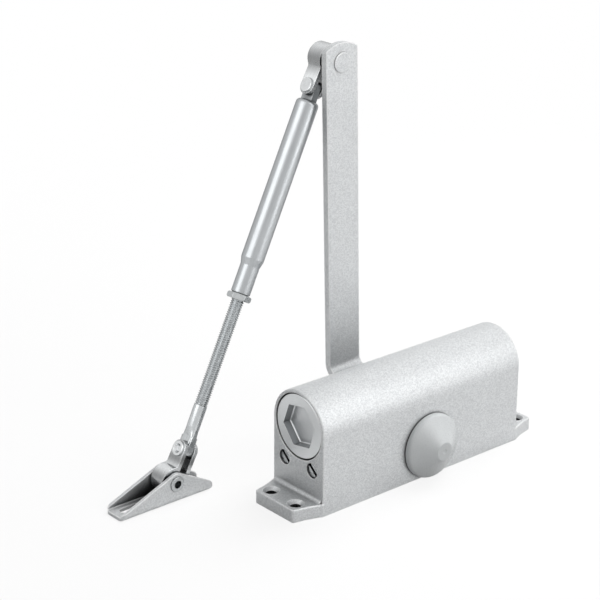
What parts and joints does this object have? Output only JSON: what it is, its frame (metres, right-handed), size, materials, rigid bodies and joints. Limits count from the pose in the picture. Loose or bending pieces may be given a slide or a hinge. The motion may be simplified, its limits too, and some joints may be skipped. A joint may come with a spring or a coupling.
{
  "type": "door closer",
  "caption": "Surface-mounted hydraulic door closer: domed cast body with rack and pinion, flat main arm, adjustable forearm with strap knuckles and a channel shoe",
  "frame": {"origin": "Middle of the body's mounting face, at the centre of its four screw holes", "axes": "X along the body, Y from the spindle cap towards the arm side, Z out of the mounting face through the domed top"},
  "size_m": [0.2555, 0.1064, 0.2375],
  "materials": {
    "silver_paint": "fine silver metallic powder coat",
    "plug_alloy": "smooth light grey coated plug",
    "cap_plastic": "satin grey moulded plastic",
    "satin_tube": "satin plated drawn steel tube",
    "zinc_steel": "bright zinc plate",
    "strap_steel": "silver coated bent strip",
    "bush_steel": "plain turned steel",
    "machined_steel": "machined and oiled",
    "spring_steel": "oil tempered wire",
    "seal_rubber": "black nitrile rubber"
  },
  "bodies": {
    "body": {"housing": "silver_paint", "left_end_plug": "plug_alloy", "right_end_plug": "plug_alloy", "left_plug_seal": "seal_rubber", "right_plug_seal": "seal_rubber", "front_bearing": "machined_steel", "back_bearing": "machined_steel", "front_shaft_seal": "seal_rubber", "back_shaft_seal": "seal_rubber", "bearing_retainer": "machined_steel", "spindle_cap": "cap_plastic", "main_spring": "spring_steel"},
    "closing_valve": {"closing_valve_screw": "zinc_steel", "closing_valve_seal": "seal_rubber"},
    "latching_valve": {"latching_valve_screw": "zinc_steel", "latching_valve_seal": "seal_rubber"},
    "arm": {"pinion_shaft": "machined_steel", "main_arm": "silver_paint", "arm_washer": "zinc_steel", "arm_screw": "zinc_steel", "elbow_rivet": "silver_paint", "elbow_bush": "bush_steel", "elbow_washer": "zinc_steel"},
    "piston": {"piston": "machined_steel", "check_valve_ball": "machined_steel", "check_valve_ring": "machined_steel"},
    "elbow_knuckle": {"elbow_knuckle": "strap_steel", "tube_rivet": "strap_steel"},
    "tube": {"forearm_tube": "satin_tube", "lock_nut": "zinc_steel"},
    "rod": {"adjusting_rod": "zinc_steel"},
    "shoe_knuckle": {"shoe_knuckle": "strap_steel", "rod_rivet": "strap_steel"},
    "shoe": {"shoe_bracket": "silver_paint", "shoe_pin": "zinc_steel", "shoe_bush": "bush_steel"}
  },
  "joints": [
    {"name": "arm_swing", "type": "hinge", "parent": "body", "child": "arm", "pos_m": [0.0037, 0, 0.0193], "axis": [0, -1, 0], "range_deg": [0, 150], "stiffness_Nm_per_rad": 2, "springref_deg": -85.94},
    {"name": "piston_travel", "type": "slide", "parent": "body", "child": "piston", "axis": [-1, 0, 0], "range_m": [0, 0.03457], "deforming": ["main_spring"]},
    {"name": "closing_valve_turn", "type": "hinge", "parent": "body", "child": "closing_valve", "pos_m": [-0.0755, -0.0114, 0.02419], "axis": [-1, 0, 0], "range_deg": [-180, 180]},
    {"name": "latching_valve_turn", "type": "hinge", "parent": "body", "child": "latching_valve", "pos_m": [-0.0755, 0.0114, 0.02419], "axis": [-1, 0, 0], "range_deg": [-180, 180]},
    {"name": "elbow", "type": "hinge", "parent": "arm", "child": "elbow_knuckle", "pos_m": [-0.00252, 0.0642, 0.22651], "axis": [0, 1, 0], "range_deg": [-6, 140]},
    {"name": "forearm_sway", "type": "hinge", "parent": "elbow_knuckle", "child": "tube", "pos_m": [-0.01123, 0.0642, 0.21075], "axis": [0.8751, 0, -0.4839], "range_deg": [-4, 12]},
    {"name": "length_adjust", "type": "slide", "parent": "tube", "child": "rod", "axis": [-0.483, -0.0607, -0.8735], "range_m": [-0.02, 0.035]},
    {"name": "shoe_sway", "type": "hinge", "parent": "rod", "child": "shoe_knuckle", "pos_m": [-0.1138, 0.0513, 0.02526], "axis": [0.8751, 0, -0.4839], "range_deg": [-8, 8]},
    {"name": "shoe_pivot", "type": "hinge", "parent": "shoe_knuckle", "child": "shoe", "pos_m": [-0.12557, 0.0513, 0.0112], "axis": [0, 1, 0], "range_deg": [-45, 55]}
  ],
  "couplings": [
    {"joint": "piston_travel", "follows": "arm_swing", "m_per_rad": 0.0132}
  ]
}
